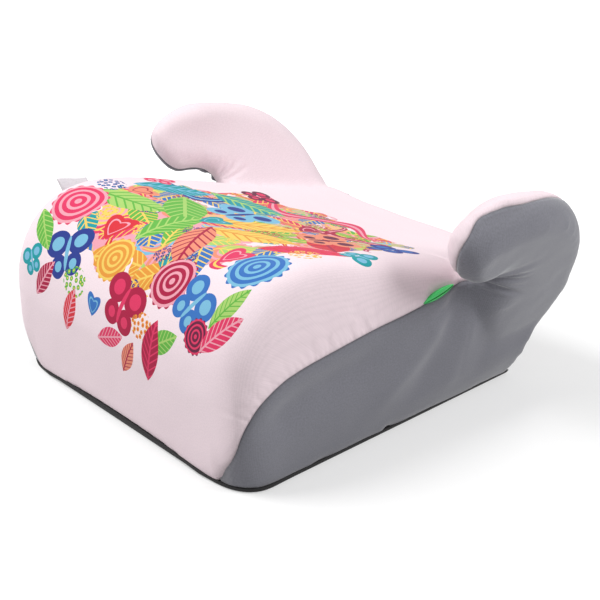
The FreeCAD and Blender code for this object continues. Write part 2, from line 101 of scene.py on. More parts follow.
def newGroup(name, inputs, outputs):
    tree = bpy.data.node_groups.new(name, "ShaderNodeTree")
    for title, kind, value in inputs:
        kind = "NodeSocket" + kind
        socket = tree.interface.new_socket(name=title, in_out="INPUT", socket_type=kind)
        if value is not None:
            socket.default_value = value
    for title, kind in outputs:
        kind = "NodeSocket" + kind
        tree.interface.new_socket(name=title, in_out="OUTPUT", socket_type=kind)
    given = tree.nodes.new("NodeGroupInput").outputs
    return tree, given, tree.nodes.new("NodeGroupOutput").inputs


def useGroup(tree, group, values=None, links=None):
    return addNode(tree, "ShaderNodeGroup", {"node_tree": group}, values, links)


def newMaterial(name, roughness, colour=(0.8, 0.8, 0.8)):
    material = bpy.data.materials.new(name)
    material.use_nodes = True
    tree = material.node_tree
    shader = tree.nodes["Principled BSDF"]
    shader.inputs["Base Color"].default_value = (*colour, 1.0)
    shader.inputs["Roughness"].default_value = roughness
    return material, tree, shader


def objectPlace(tree):
    return addNode(tree, "ShaderNodeTexCoord").outputs["Object"]


def noiseNode(tree, place, scale, detail, dimensions="3D", distortion=0.0):
    return addNode(tree, "ShaderNodeTexNoise", {"noise_dimensions": dimensions},
                   {"Scale": scale, "Detail": detail, "Distortion": distortion},
                   {"Vector": place}).outputs[0]


# the finish's colour, or what is linked instead, darkened or lifted by a shade round one
def tint(tree, shader, base, shade):
    if isinstance(base, tuple):
        base = (*base[:3], 1.0)
    grey = addNode(tree, "ShaderNodeCombineColor", links={0: shade, 1: shade, 2: shade})
    tinted = mixColour(tree, 1.0, base, grey.outputs[0], "MULTIPLY")
    tree.links.new(tinted, shader.inputs["Base Color"])


def bumpFrom(tree, shader, height, strength, distance):
    bump = addNode(tree, "ShaderNodeBump", values={"Strength": strength, "Distance": distance},
                   links={"Height": height})
    tree.links.new(bump.outputs[0], shader.inputs["Normal"])


def srgb(*shades):
    return tuple(((c / 255 + 0.055) / 1.055) ** 2.4 if c > 10 else c / 255 / 12.92 for c in shades)


# cover form: one closed volume of the padded seat, its skin kept as the fabric
cover = {
    "voxel": 0.0050,            # metres
    "smoothRounds": 16,
    "hemSide": 0.0034,          # height of the hem at the corners and in the middle of a side
    "hemMiddle": 0.0108,
    "scallop": 0.0008,
    "scallopPitch": 0.0165,
    "grooveWidth": 0.0034,
    "grooveDepth": 0.0012,
    "thickness": 0.0016,
    "unevenness": 0.0006,
}
# the fabric of an armrest lies each side of a plane that leans and turns outwards
armrest = {"middle": 0.2063, "lean": 0.47, "toe": 0.10, "slant": 1.1095, "at": (0.0665, 0.150)}
# grey comes over the armrest's rim here: height of the bulge, place and reach (y, z)
greyOver = {"high": 0.0062, "at": (0.018, 0.209), "reach": (0.014, 0.016)}
greyBehind = {"high": 0.0045, "at": 0.042, "reach": 0.022, "from": 0.195, "full": 0.210}
# where the grey ends: inner and rear edge of the side wall, and of the armrest's root behind the notch
greyEdge = {"wallInner": 0.150, "wallRear": 0.066, "rootInner": 0.185, "rootFront": 0.052,
            "rootRear": 0.090, "rootTop": (0.058, 0.1305), "rootRise": 0.17, "round": 0.003, "blend": 0.006}
rear = {"half": 0.128, "foot": 0.1500, "lean": 0.34, "slant": 1.056, "corner": 0.012}
# paths in the side view (y, z): seam under the side's edge, zone of the armrest, middle of the seat
sideSeam = [(-0.1975, -0.012), (-0.1993, 0.010), (-0.2006, 0.028), (-0.1968, 0.055), (-0.190, 0.0715),
            (-0.1795, 0.0845), (-0.1615, 0.095), (-0.140, 0.1015), (-0.096, 0.109), (-0.0615, 0.114),
            (-0.027, 0.1185), (0.018, 0.1255), (0.062, 0.132)]
armZone = [(0.062, -0.030), (0.062, 0.128), (0.038, 0.141), (0.013, 0.147), (-0.064, 0.150), (-0.30, 0.153)]
crossSection = [(-0.2015, 0.0), (-0.2035, 0.040), (-0.2055, 0.082), (-0.1990, 0.117), (-0.1810, 0.145),
                (-0.1560, 0.164), (-0.1235, 0.171), (-0.060, 0.163), (0.0, 0.150), (0.060, 0.136),
                (0.120, 0.1225), (0.178, 0.114), (0.188, 0.106), (0.170, 0.050), (0.1525, 0.0)]


# a flowing curve through the points of an outline
def smoothPath(points, steps=6):
    def between(p, q, r, s, t):
        bend = 2 * p - 5 * q + 4 * r - s
        return 0.5 * (2 * q + (r - p) * t + bend * t * t + (3 * q - p - 3 * r + s) * t ** 3)

    out = []
    ends = [points[0]] + list(points) + [points[-1]]
    for corners in zip(ends, ends[1:], ends[2:], ends[3:]):
        for step in range(steps):
            out.append(tuple(between(*values, step / steps) for values in zip(*corners)))
    return out + [tuple(points[-1])]


# signed distance to a path in the side view, above nought on its right, and the length along it
def pathField(y, z, points):
    best = np.full(len(y), 9.0)
    signed = np.zeros(len(y))
    along = np.zeros(len(y))
    run = 0.0
    for (ya, za), (yb, zb) in zip(points[:-1], points[1:]):
        dy, dz = yb - ya, zb - za
        length = math.hypot(dy, dz)
        if length < 1e-7:
            continue
        share = np.clip(((y - ya) * dy + (z - za) * dz) / length ** 2, 0, 1)
        apart = np.hypot(y - ya - share * dy, z - za - share * dz)
        side = np.where(dy * (z - za) - dz * (y - ya) < 0, 1.0, -1.0)
        closer = apart < best - 1e-9
        best = np.where(closer, apart, best)
        signed = np.where(closer, apart * side, signed)
        along = np.where(closer, run + share * length, along)
        run += length
    return signed, along


def softMost(a, b, radius):
    bite = np.maximum(radius - np.abs(a - b), 0) / radius
    return np.maximum(a, b) + bite * bite * radius * 0.25


def softLeast(a, b, radius):
    return -softMost(-a, -b, radius)


def ramp(value, low, high):
    share = np.clip((value - low) / (high - low), 0, 1)
    return share * share * (3 - 2 * share)


seamPath = smoothPath(sideSeam)


# how far beyond the middle of an armrest's thickness a point lies
def beyondArm(points):
    x, y, z = np.abs(points[:, 0]), points[:, 1], points[:, 2]
    out = x - armrest["middle"] - armrest["lean"] * (z - armrest["at"][1])
    return (out + armrest["toe"] * (y - armrest["at"][0])) / armrest["slant"]


# above nought on the grey side panels
def sideField(points):
    x, y, z = np.abs(points[:, 0]), points[:, 1], points[:, 2]
    edge, (topY, topZ) = greyEdge, greyEdge["rootTop"]
    underSeam = pathField(y, z, seamPath)[0]
    inner = np.minimum(x - edge["wallInner"], edge["wallRear"] - y)
    wall = softLeast(underSeam, inner, edge["round"])
    underArm = np.minimum(y - edge["rootFront"], topZ + edge["rootRise"] * (y - topY) - z)
    root = np.minimum(np.minimum(x - edge["rootInner"], edge["rootRear"] - y), underArm)
    wall = softMost(wall, root, edge["round"])
    zone = pathField(y, z, armZone)[0]
    (overY, overZ), (reachY, reachZ) = greyOver["at"], greyOver["reach"]
    over = greyOver["high"] * np.exp(-((y - overY) / reachY) ** 2 - ((z - overZ) / reachZ) ** 2)
    behind = greyBehind["high"] * np.exp(-((y - greyBehind["at"]) / greyBehind["reach"]) ** 2)
    over += behind * ramp(z, greyBehind["from"], greyBehind["full"])
    onArm = softLeast(beyondArm(points) + over, zone, edge["round"])
    return softMost(wall, onArm, edge["blend"])


# above nought over the hem, which arches in the middle and is gathered by its elastic
def hemField(points):
    x, y, z = points[:, 0], points[:, 1], points[:, 2]
    arch = np.cos(0.5 * np.pi * np.clip(np.abs(x) / 0.17, 0, 1)) ** 1.35
    girth = np.arctan2(y, x) * 0.20
    turns = (girth + 0.002 * np.sin(61.0 * girth)) / cover["scallopPitch"]
    wave = np.abs(np.sin(np.pi * turns)) * 1.6 - 0.8
    wave = wave * (0.7 + 0.3 * np.sin(23.0 * girth + 1.0))
    raised = (cover["hemMiddle"] - cover["hemSide"]) * arch
    return z - cover["hemSide"] - raised + cover["scallop"] * wave


# above nought on the rear panel
def rearField(points):
    x, y, z = points[:, 0], points[:, 1], points[:, 2]
    behind = (y - rear["foot"] - rear["lean"] * z) / rear["slant"]
    return softLeast(rear["half"] - np.abs(x), behind, rear["corner"])


def places(work):
    return np.array([v.co[:] for v in work.verts])


# splits edges and faces where a field crosses a level, so that the line is a row of edges
def cutAlong(work, field, level=0.0):
    values = dict(zip(work.verts, field(places(work)) - level))
    for v in work.verts:
        if abs(values[v]) < 1e-5:
            values[v] = 0.0
    for edge in list(work.edges):
        a, b = edge.verts
        fa, fb = values[a], values[b]
        if fa * fb < 0:
            middle = bmesh.utils.edge_split(edge, a, fa / (fa - fb))[1]
            values[middle] = 0.0
    for face in list(work.faces):
        onLine = [v for v in face.verts if values[v] == 0.0]
        if len(onLine) != 2:
            continue
        if any(e.other_vert(onLine[0]) is onLine[1] for e in onLine[0].link_edges):
            continue
        bmesh.utils.face_split(face, onLine[0], onLine[1])
    return values


# keeps the connected part with the most vertices
def largestPart(work):
    seen, best = set(), []
    for start in work.verts:
        if start in seen:
            continue
        group, queue = [], [start]
        seen.add(start)
        while queue:
            v = queue.pop()
            group.append(v)
            for e in v.link_edges:
                w = e.other_vert(v)
                if w not in seen:
                    seen.add(w)
                    queue.append(w)
        if len(group) > len(best):
            best = group
    keep = set(best)
    bmesh.ops.delete(work, geom=[v for v in work.verts if v not in keep], context="VERTS")


# smooths without shrinking: each round pulls in, then pushes back out
def relax(work, rounds, inward=0.50, outward=-0.53, only=None):
    work.verts.index_update()
    co = places(work)
    ends = np.array([[v.index for v in e.verts] for e in work.edges])
    count = np.bincount(ends.ravel(), minlength=len(co))[:, None]
    weight = np.ones((len(co), 1)) if only is None else only[:, None]
    for step in range(2 * rounds):
        total = np.zeros_like(co)
        np.add.at(total, ends[:, 0], co[ends[:, 1]])
        np.add.at(total, ends[:, 1], co[ends[:, 0]])
        co += (total / count - co) * (inward if step % 2 == 0 else outward) * weight
    for v, place in zip(work.verts, co):
        v.co = place


def refine(work, wanted):
    flags = dict(zip(work.verts, wanted(places(work))))
    edges = [e for e in work.edges if all(flags[v] for v in e.verts)]
    bmesh.ops.subdivide_edges(work, edges=edges, cuts=1, use_grid_fill=True)


def meshPiece(name, work, smooth=True):
    mesh = bpy.data.meshes.new(name)
    work.to_mesh(mesh)
    mesh.validate()
    piece = bpy.data.objects.new(name, mesh)
    scene.collection.objects.link(piece)
    for polygon in mesh.polygons:
        polygon.use_smooth = smooth
    return piece


def appliedCopy(piece):
    graph = bpy.context.evaluated_depsgraph_get()
    graph.update()
    return bpy.data.meshes.new_from_object(piece.evaluated_get(graph))


form = {
    "leftOut": ("side_label", "armrest_screws", "hem_elastic"),
    "guideIn": (0.0036, 0.0, 0.0021),       # the fabric closes behind the guides
    # behind the belt notch the armrest's underside and the side wall are one
    "fillSize": (0.017, 0.020, 0.015), "fillAt": (0.198, 0.077, 0.137),
    # each armrest's foot runs smoothly into the side of the seat
    "footAt": (0.092, 0.136), "footReach": (0.050, 0.036), "footRounds": 30,
}


def joinedForm(names):
    work = bmesh.new()
    for name in names:
        part = bmesh.new()
        part.from_mesh(nodes[name].data)
        bmesh.ops.remove_doubles(part, verts=part.verts, dist=1e-6)
        if name.startswith("belt_guide"):
            side = 1 if name.endswith("left") else -1
            x, y, z = form["guideIn"]
            bmesh.ops.translate(part, vec=(-x * side, -y, -z), verts=part.verts)
        mesh = bpy.data.meshes.new("part")
        part.to_mesh(mesh)
        part.free()
        work.from_mesh(mesh)
        bpy.data.meshes.remove(mesh)
    return work


work = joinedForm([name for name in nodes if name not in form["leftOut"]])
for side in (-1, 1):
    x, y, z = form["fillAt"]
    fill = bmesh.ops.create_icosphere(work, subdivisions=3, radius=1.0)["verts"]
    bmesh.ops.scale(work, vec=form["fillSize"], verts=fill)
    bmesh.ops.translate(work, vec=(x * side, y, z), verts=fill)
solidForm = meshPiece("coverForm", work)
work.free()
remesh = solidForm.modifiers.new("remesh", "REMESH")
remesh.mode = "VOXEL"
remesh.voxel_size = cover["voxel"]
skin = bmesh.new()
skin.from_mesh(appliedCopy(solidForm))
bpy.data.objects.remove(solidForm)
largestPart(skin)
print("cover form remeshed,", len(skin.verts), "vertices")

relax(skin, cover["smoothRounds"])
spots = places(skin)
(footY, footZ), (reachY, reachZ) = form["footAt"], form["footReach"]
reach = 1 - np.hypot((spots[:, 1] - footY) / reachY, (spots[:, 2] - footZ) / reachZ)
foot = ramp(reach, 0.0, 0.4) * ramp(np.abs(spots[:, 0]), 0.168, 0.182)
relax(skin, form["footRounds"], outward=0.50, only=foot)
heights = cutAlong(skin, hemField)
underHem = [f for f in skin.faces if sum(heights[v] for v in f.verts) < 0]
bmesh.ops.delete(skin, geom=underHem, context="FACES")
largestPart(skin)
print("cover skin hemmed,", len(skin.verts), "vertices")


# folds and creases, all in the side view (y, z), the same on both sides
folds = {
    # along the seam, on the side panel: distance from the seam, width, depth, start and end
    "alongSeam": [(0.028, 0.0145, 0.0046, 0.050, 0.275), (0.005, 0.010, -0.0014, 0.040, 0.300)],
    "drapes": [          # path, half width, depth; a negative depth stands proud
        ([(0.040, 0.118), (0.014, 0.088), (-0.018, 0.060), (-0.062, 0.026)], 0.012, -0.0026),
        ([(0.052, 0.118), (0.034, 0.082), (0.008, 0.044), (-0.022, 0.012)], 0.014, 0.0024),
        ([(0.070, 0.118), (0.066, 0.082), (0.054, 0.044), (0.040, 0.010)], 0.012, -0.0014),
        ([(0.062, 0.124), (0.046, 0.108), (0.030, 0.098), (0.012, 0.092)], 0.013, 0.0028),
        ([(0.054, 0.128), (0.038, 0.116), (0.022, 0.108), (0.006, 0.104)], 0.008, 0.0030),
        ([(0.092, 0.112), (0.098, 0.076), (0.092, 0.040), (0.084, 0.010)], 0.015, 0.0012),
    ],
    # angle above level, length, half width, depth, bend
    "outerFan": [(-3, 0.088, 0.0030, -0.0012, 0.4), (-9, 0.076, 0.0018, 0.0019, 0.9),
                 (-15, 0.080, 0.0020, 0.0025, 1.1), (-27, 0.090, 0.0021, 0.0024, 0.5),
                 (-38, 0.050, 0.0017, 0.0013, 0.0), (-50, 0.042, 0.0018, 0.0020, -0.5),
                 (-66, 0.028, 0.0015, 0.0010, 0.0), (-82, 0.024, 0.0015, 0.0011, 0.0),
                 (-100, 0.022, 0.0015, 0.0009, 0.0)],
    "outerStart": (0.037, 0.1455),
    "innerFan": [(22, 0.050, 0.0024, 0.0012, 0.0), (40, 0.042, 0.0025, 0.0016, 0.0),
                 (58, 0.032, 0.0022, 0.0014, 0.0)],
    "innerStart": (0.0575, 0.1375),
    # swelling of the fabric over the armrest's front shoulder
    "shoulder": {"high": 0.0056, "at": (0.048, 0.212), "reach": (0.033, 0.018)},
    # areas of finer faces: middle, reach, nearest distance from the centre plane
    "fineAreas": [((0.080, 0.132), (0.088, 0.062), 0.12), ((0.074, 0.128), (0.058, 0.036), 0.17)],
}
# short puckers beside the seam, at uneven distances
puckers = {"start": 0.085, "end": 0.240, "pitch": 0.0062, "width": 0.0019, "depth": 0.0014,
           "length": 0.0100, "band": 0.020}


# creases that fan out from a point; where they meet, the deepest counts
def fanOf(points, creases, at):
    deep, proud = np.zeros(len(points)), np.zeros(len(points))
    for turn, length, width, depth, bend in creases:
        angle = math.radians(turn)
        dy, dz = points[:, 1] - at[0], points[:, 2] - at[1]
        along = dy * math.cos(angle) + dz * math.sin(angle)
        across = -dy * math.sin(angle) + dz * math.cos(angle) - bend * along * along
        spread = width * (0.35 + 1.1 * np.clip(along / length, 0, 1))
        strength = ramp(along, 0.002, 0.012) * (1 - ramp(along, 0.35 * length, length))
        line = abs(depth) * strength * np.exp(-(across / spread) ** 2)
        besideSpread = (np.abs(across) - 2.0 * spread) / spread
        beside = 0.40 * abs(depth) * strength * np.exp(-besideSpread ** 2)
        deep = np.maximum(deep, line if depth > 0 else beside)
        proud = np.maximum(proud, beside if depth > 0 else line)
    return deep - proud * (1 - ramp(deep, 0.0, 0.0012))


def puckersOf(distance, along):
    rng = np.random.default_rng(7)
    total = np.zeros(len(distance))
    place = puckers["start"]
    while place < puckers["end"]:
        depth = puckers["depth"] * rng.uniform(0.35, 1.0)
        reach = puckers["length"] * rng.uniform(0.5, 1.7)
        lean = rng.uniform(-0.5, 0.1)
        width = puckers["width"] * rng.uniform(0.7, 1.2)
        offset = along - place - lean * distance
        fading = np.exp(-distance / reach) * ramp(distance, 0.0, 0.002)
        total += depth * np.exp(-(offset / (width + 0.10 * distance)) ** 2) * fading
        place += puckers["pitch"] * rng.uniform(0.6, 1.5)
    return total


def nearPuckers(points):
    distance, along = pathField(points[:, 1], points[:, 2], seamPath)
    inReach = (along > puckers["start"] - 0.006) & (along < puckers["end"] + 0.006)
    inBand = (distance < 0.004) & (distance > -puckers["band"])
    return inReach & inBand & (np.abs(points[:, 0]) > 0.140)


for (midY, midZ), (reachY, reachZ), aside in folds["fineAreas"]:
    refine(skin, lambda p: (np.hypot((p[:, 1] - midY) / reachY, (p[:, 2] - midZ) / reachZ) < 1)
           & (np.abs(p[:, 0]) > aside))
for step in range(2):
    refine(skin, nearPuckers)

groove = cover["grooveWidth"]
for level in (0.0, -groove, groove, -0.4 * groove, 0.4 * groove):
    cutAlong(skin, sideField, level)
for level in (0.0, -groove, groove):
    cutAlong(skin, rearField, level)

points = places(skin)
sideValue = sideField(points)
rearValue = np.where(sideValue < 0, rearField(points), -1.0)
rearAway = np.where(sideValue < -0.0005, np.abs(rearField(points)), 1.0)
seamValue = np.minimum(np.abs(sideValue), rearAway)
seamDistance, seamAlong = pathField(points[:, 1], points[:, 2], seamPath)
beyond = beyondArm(points)
aside = np.abs(points[:, 0])
onWall = ramp(aside, 0.150, 0.172)
onPanel = onWall * ramp(sideValue, 0.0, 0.006)

sunk = cover["grooveDepth"] * (1 - np.clip(seamValue / groove, 0, 1)) ** 2
for away, width, depth, start, end in folds["alongSeam"]:
    window = ramp(seamAlong, start, start + 0.07) * (1 - ramp(seamAlong, end - 0.10, end))
    sunk += depth * window * np.exp(-((seamDistance - away) / width) ** 2) * onPanel
for path, half, depth in folds["drapes"]:
    route = smoothPath(path)
    apart, along = pathField(points[:, 1], points[:, 2], route)
    whole = sum(math.dist(a, b) for a, b in zip(route[:-1], route[1:]))
    window = ramp(along, 0.0, 0.020) * (1 - 0.8 * ramp(along, 0.6 * whole, whole))
    window = window * ramp(points[:, 2], 0.010, 0.036)
    sunk += depth * window * np.exp(-(apart / half) ** 2) * onPanel
outer = fanOf(points, folds["outerFan"], folds["outerStart"])
inner = fanOf(points, folds["innerFan"], folds["innerStart"])
sunk += outer * ramp(beyond, -0.002, 0.004)
sunk += inner * ramp(-beyond, 0.004, 0.012) * ramp(aside, 0.120, 0.135)
gathered = puckersOf(np.maximum(-seamDistance, 0), seamAlong)
sunk += gathered * (seamDistance < 0) * onWall * (sideValue < 0)
(midY, midZ), (reachY, reachZ) = folds["shoulder"]["at"], folds["shoulder"]["reach"]
swell = np.exp(-((points[:, 1] - midY) / reachY) ** 2 - ((points[:, 2] - midZ) / reachZ) ** 2)
sunk -= folds["shoulder"]["high"] * swell * ramp(-beyond, -0.004, 0.010) * ramp(aside, 0.165, 0.180)
uneven = [noise.noise(Vector(p) * 22.0) + 0.5 * noise.noise(Vector(p) * 51.0) for p in points]
sunk += cover["unevenness"] * np.array(uneven) * ramp(points[:, 2], 0.006, 0.030)

skin.normal_update()
for v, amount in zip(skin.verts, sunk):
    v.co -= v.normal * float(amount)
print("seams and folds sunk")

seamLayer = skin.verts.layers.float.new("seamDistance")
for v, amount in zip(skin.verts, seamValue):
    v[seamLayer] = float(amount)
order = {v: i for i, v in enumerate(skin.verts)}


# angle round the middle of the seat, from its front foot up and over
def angleAt(y, z):
    angle = math.atan2(z - 0.030, -(y + 0.030))
    return angle if angle > -1.0 else angle + 2 * math.pi


profile = smoothPath(crossSection, 4)
profileAngles = [angleAt(y, z) for y, z in profile]
profileLengths = [0.0]
for near, far in zip(profile[:-1], profile[1:]):
    profileLengths.append(profileLengths[-1] + math.dist(near, far))
deckY, deckZ = zip(*[(y, z) for y, z in profile if z > 0.100])


# cloth coordinates in metres: across the seat, and from the front hem up and over the top
def developed(co):
    x, y, z = co
    deck = float(np.interp(y, deckY, deckZ)) + 0.012
    across = abs(x) + 0.65 * max(0.0, z - deck)
    return math.copysign(across, x), float(np.interp(angleAt(y, z), profileAngles, profileLengths))


def panelOf(face):
    index = [order[v] for v in face.verts]
    if np.mean(sideValue[index]) > 0:
        return "coverSideLeft" if face.calc_center_median().x > 0 else "coverSideRight"
    if np.mean(rearValue[index]) > 0:
        return "coverRear"
    return "coverMain"


def finerAndThick(piece, thickness, offset):
    finer = piece.modifiers.new("finer", "SUBSURF")
    finer.levels = finer.render_levels = 1
    thick = piece.modifiers.new("thick", "SOLIDIFY")
    thick.thickness = thickness
    thick.offset = offset


tags = [panelOf(f) for f in skin.faces]
panels = {}
for title, node, slot in (("coverMain", "cover_main_panel", "cover_pink"),
                          ("coverRear", "cover_rear_panel", "cover_grey"),
                          ("coverSideLeft", "cover_side_panel_left", "cover_grey"),
                          ("coverSideRight", "cover_side_panel_right", "cover_grey")):
    part = skin.copy()
    others = [f for f, tag in zip(part.faces, tags) if tag != title]
    bmesh.ops.delete(part, geom=others, context="FACES")
    layer = part.loops.layers.uv.new("cloth")
    for face in part.faces:
        for loop in face.loops:
            co = loop.vert.co
            flat = (co.y, co.z + 0.5 * abs(co.x)) if title.startswith("coverSide") else developed(co)
            loop[layer].uv = flat
    piece = meshPiece(title, part)
    print(title, len(part.faces), "faces")
    part.free()
    finerAndThick(piece, cover["thickness"], -1.0)
    panels[title] = piece
    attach(piece, "root")
    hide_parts(node)
skin.normal_update()
fabric = BVHTree.FromBMesh(skin)
skin.free()
print("cover panels made")


# belt guides: a thin leaf with a sunk groove, one under each armrest
guide = {
    "halfLength": 0.0205, "halfWidth": 0.0033, "below": 0.004, "rounding": 0.0002, "stations": 32,
    "place": (0.1865, 0.0215, 0.1278),
    "along": (0.04, 0.97, 0.235),
    "normal": (0.86, -0.06, 0.50),
    # across the leaf from its lower edge: share of the half width, and height
    "profile": [(-1.0, 0.0004), (-0.90, 0.0018), (-0.60, 0.0022), (-0.52, 0.0002), (-0.34, 0.0),
                (-0.24, 0.0030), (0.10, 0.0036), (0.60, 0.0028), (1.0, 0.0004)],
}


def frameAt(place, along, normal):
    zAxis = Vector(normal).normalized()
    yAxis = zAxis.cross(Vector(along)).normalized()
    xAxis = yAxis.cross(zAxis)
    turned = Matrix((xAxis, yAxis, zAxis)).transposed().to_4x4()
    return Matrix.Translation(Vector(place)) @ turned


# an outline extruded from end to end, then narrowed to a leaf
def beltGuide(name, side):
    work = bmesh.new()
    outline = guide["profile"] + [(1.0, -guide["below"]), (-1.0, -guide["below"])]
    end = work.faces.new([work.verts.new((-1.0, y, z)) for y, z in outline])
    for step in range(guide["stations"]):
        grown = bmesh.ops.extrude_face_region(work, geom=[end])["geom"]
        if step:        # the first face closes the end, the others would stay inside
            bmesh.ops.delete(work, geom=[end], context="FACES_ONLY")
        end = next(item for item in grown if isinstance(item, bmesh.types.BMFace))
        for v in end.verts:
            v.co.x = -math.cos(math.pi * (step + 1) / guide["stations"])
    for v in work.verts:
        room = max(1 - v.co.x * v.co.x, 0.0)
        half = guide["halfWidth"] * room ** 0.8 + 0.0002
        tall = 1.0 if v.co.z < 0 else 0.2 + 0.8 * math.sqrt(room)
        v.co = (guide["halfLength"] * v.co.x, half * v.co.y, tall * v.co.z)
    placed = frameAt(guide["place"], guide["along"], guide["normal"])
    bmesh.ops.transform(work, matrix=placed, verts=work.verts)
    if side < 0:
        bmesh.ops.scale(work, vec=(-1, 1, 1), verts=work.verts)
    bmesh.ops.recalc_face_normals(work, faces=work.faces)
    piece = meshPiece(name, work, smooth=False)
    work.free()
    rounded = piece.modifiers.new("rounded", "BEVEL")
    rounded.width = guide["rounding"]
    rounded.segments = 2
    rounded.limit_method = "ANGLE"
    rounded.angle_limit = math.radians(35)
    return piece


guides = {}
for name, node, side in (("beltGuideLeft", "belt_guide_left", 1),
                         ("beltGuideRight", "belt_guide_right", -1)):
    piece = beltGuide(name, side)
    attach(piece, "root")
    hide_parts(node)
    guides[name] = piece
print("belt guides made")


# label: a strip of woven tape folded over, its two ends sewn into the rim seam
label = {
    "front": (-0.164, -0.1500, 0.1730), "rear": (-0.164, -0.1180, 0.1700),
    "tall": 0.0100, "root": -0.0020, "bulge": 0.0046, "lean": -0.85, "thick": 0.0006,
    "along": 8, "around": 16,       # faces along the rim and round the fold
}


def foldedTape():
    work = bmesh.new()
    bmesh.ops.create_grid(work, x_segments=label["around"], y_segments=label["along"], size=1.0)
    span = label["tall"] - label["root"]
    for v in work.verts:
        fold, share = math.pi * 0.5 * (1 + v.co.x), 0.5 * (1 + v.co.y)
        height = label["root"] + span * max(math.sin(fold), 0.0) ** 0.75
        gape = label["bulge"] * (1 - 0.45 * share) * math.sin(2 * fold) * (0.6 + 0.4 * math.sin(fold))
        gape += 0.0004 * math.cos(fold)
        lift = 0.0006 * math.sin(5.0 * share + 1.0)
        start = Vector(label["front"]).lerp(Vector(label["rear"]), share)
        v.co = start + Vector((gape + label["lean"] * height, 0.0, height + lift - 0.6 * gape))
    bmesh.ops.recalc_face_normals(work, faces=work.faces)
    return work


work = foldedTape()
tape = meshPiece("sideLabel", work)
work.free()
finerAndThick(tape, label["thick"], 0.0)
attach(tape, "root")
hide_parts("side_label")
print("label made")


# foam pads: the solids, pressed in where the fabric's folds reach them
pad = {"clear": 0.0030, "reach": 0.012, "longest": 0.009}
foamPads = {}
for name, node in (("seatFoam", "seat_foam"), ("armrestFoamLeft", "armrest_foam_left"),
                   ("armrestFoamRight", "armrest_foam_right")):
    work = bmesh.new()
    work.from_mesh(nodes[node].data)
    bmesh.ops.remove_doubles(work, verts=work.verts, dist=1e-6)
    for step in range(4):
        longEdges = [e for e in work.edges if e.calc_length() > pad["longest"]]
        if not longEdges:
            break
        bmesh.ops.subdivide_edges(work, edges=longEdges, cuts=1)
        bmesh.ops.triangulate(work, faces=[f for f in work.faces if len(f.verts) > 3])
    for v in work.verts:
        spot, normal, face, gap = fabric.find_nearest(v.co)
        if gap < pad["reach"] and (spot - v.co).dot(normal) < pad["clear"]:
            v.co = spot - normal * pad["clear"]
    piece = meshPiece(name, work)
    print(name, len(work.faces), "faces")
    work.free()
    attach(piece, "root")
    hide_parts(node)
    foamPads[name] = piece
print("foam pads made")


# finishes: shared effects first
def knitGroup():
    inputs = (("Cloth", "Vector", None), ("Stitch", "Float", 760.0), ("Mottle", "Float", 1.0))
    tree, given, out = newGroup("stretchKnit", inputs, (("Height", "Float"), ("Shade", "Float")))
    split = addNode(tree, "ShaderNodeSeparateXYZ", links={0: given["Cloth"]})
    across = maths(tree, "MULTIPLY", split.outputs[0], given["Stitch"])
    along = maths(tree, "MULTIPLY", split.outputs[1], maths(tree, "MULTIPLY", given["Stitch"], 0.8))
    column = maths(tree, "ABSOLUTE", maths(tree, "SINE", maths(tree, "MULTIPLY", across, math.pi)))
    lean = maths(tree, "MULTIPLY_ADD", column, 0.35, along)
    loop = maths(tree, "ABSOLUTE", maths(tree, "SINE", maths(tree, "MULTIPLY", lean, math.pi)))
    height = maths(tree, "MULTIPLY", column, maths(tree, "MULTIPLY_ADD", loop, 0.6, 0.4))
    speckle = maths(tree, "SUBTRACT", noiseNode(tree, given["Cloth"], 620.0, 2.0), 0.5)
    cloud = maths(tree, "SUBTRACT", noiseNode(tree, given["Cloth"], 26.0, 3.0), 0.5)
    shade = maths(tree, "MULTIPLY_ADD", height, 0.05, 0.965)
    shade = maths(tree, "MULTIPLY_ADD", maths(tree, "MULTIPLY", speckle, given["Mottle"]), 0.55, shade)
    shade = maths(tree, "MULTIPLY_ADD", maths(tree, "MULTIPLY", cloud, given["Mottle"]), 0.10, shade)
    tree.links.new(maths(tree, "MULTIPLY_ADD", speckle, 0.6, height), out["Height"])
    tree.links.new(shade, out["Shade"])
    return tree


# painted shadow along the seams: a thin dark line on each seam and a faint wider band of painted shade
# beside it
def seamShadowGroup():
    inputs = (("Distance", "Float", 1.0), ("Cloth", "Vector", None))
    tree, given, out = newGroup("seamShadow", inputs, (("Shadow", "Float"),))
    near = maths(tree, "SUBTRACT", 1.0, maths(tree, "MULTIPLY", given["Distance"], 620.0), clamp=True)
    wide = maths(tree, "SUBTRACT", 1.0, maths(tree, "MULTIPLY", given["Distance"], 190.0), clamp=True)
    uneven = maths(tree, "MULTIPLY_ADD", noiseNode(tree, given["Cloth"], 260.0, 1.0), 0.7, 0.4)
    line = maths(tree, "MULTIPLY", near, maths(tree, "MULTIPLY", uneven, 0.42))
    tree.links.new(maths(tree, "MULTIPLY_ADD", wide, 0.10, line), out["Shadow"])
    return tree


def mouldedGroup():
    inputs = (("Place", "Vector", None), ("Wear", "Float", 0.3))
    outputs = (("Height", "Float"), ("Rough", "Float"), ("Shade", "Float"))
    tree, given, out = newGroup("mouldedPlastic", inputs, outputs)
    flow = noiseNode(tree, given["Place"], 24.0, 4.0, distortion=0.6)
    scuffs = maths(tree, "SUBTRACT", noiseNode(tree, given["Place"], 75.0, 5.0), 0.56, clamp=True)
    worn = maths(tree, "MULTIPLY", scuffs, given["Wear"])
    tree.links.new(noiseNode(tree, given["Place"], 900.0, 3.0), out["Height"])
    tree.links.new(maths(tree, "MULTIPLY_ADD", flow, 0.22, -0.11), out["Rough"])
    shade = maths(tree, "MULTIPLY_ADD", worn, 3.0, maths(tree, "MULTIPLY_ADD", flow, 0.16, 0.92))
    tree.links.new(shade, out["Shade"])
    return tree


stretchKnit, seamShadow, mouldedPlastic = knitGroup(), seamShadowGroup(), mouldedGroup()


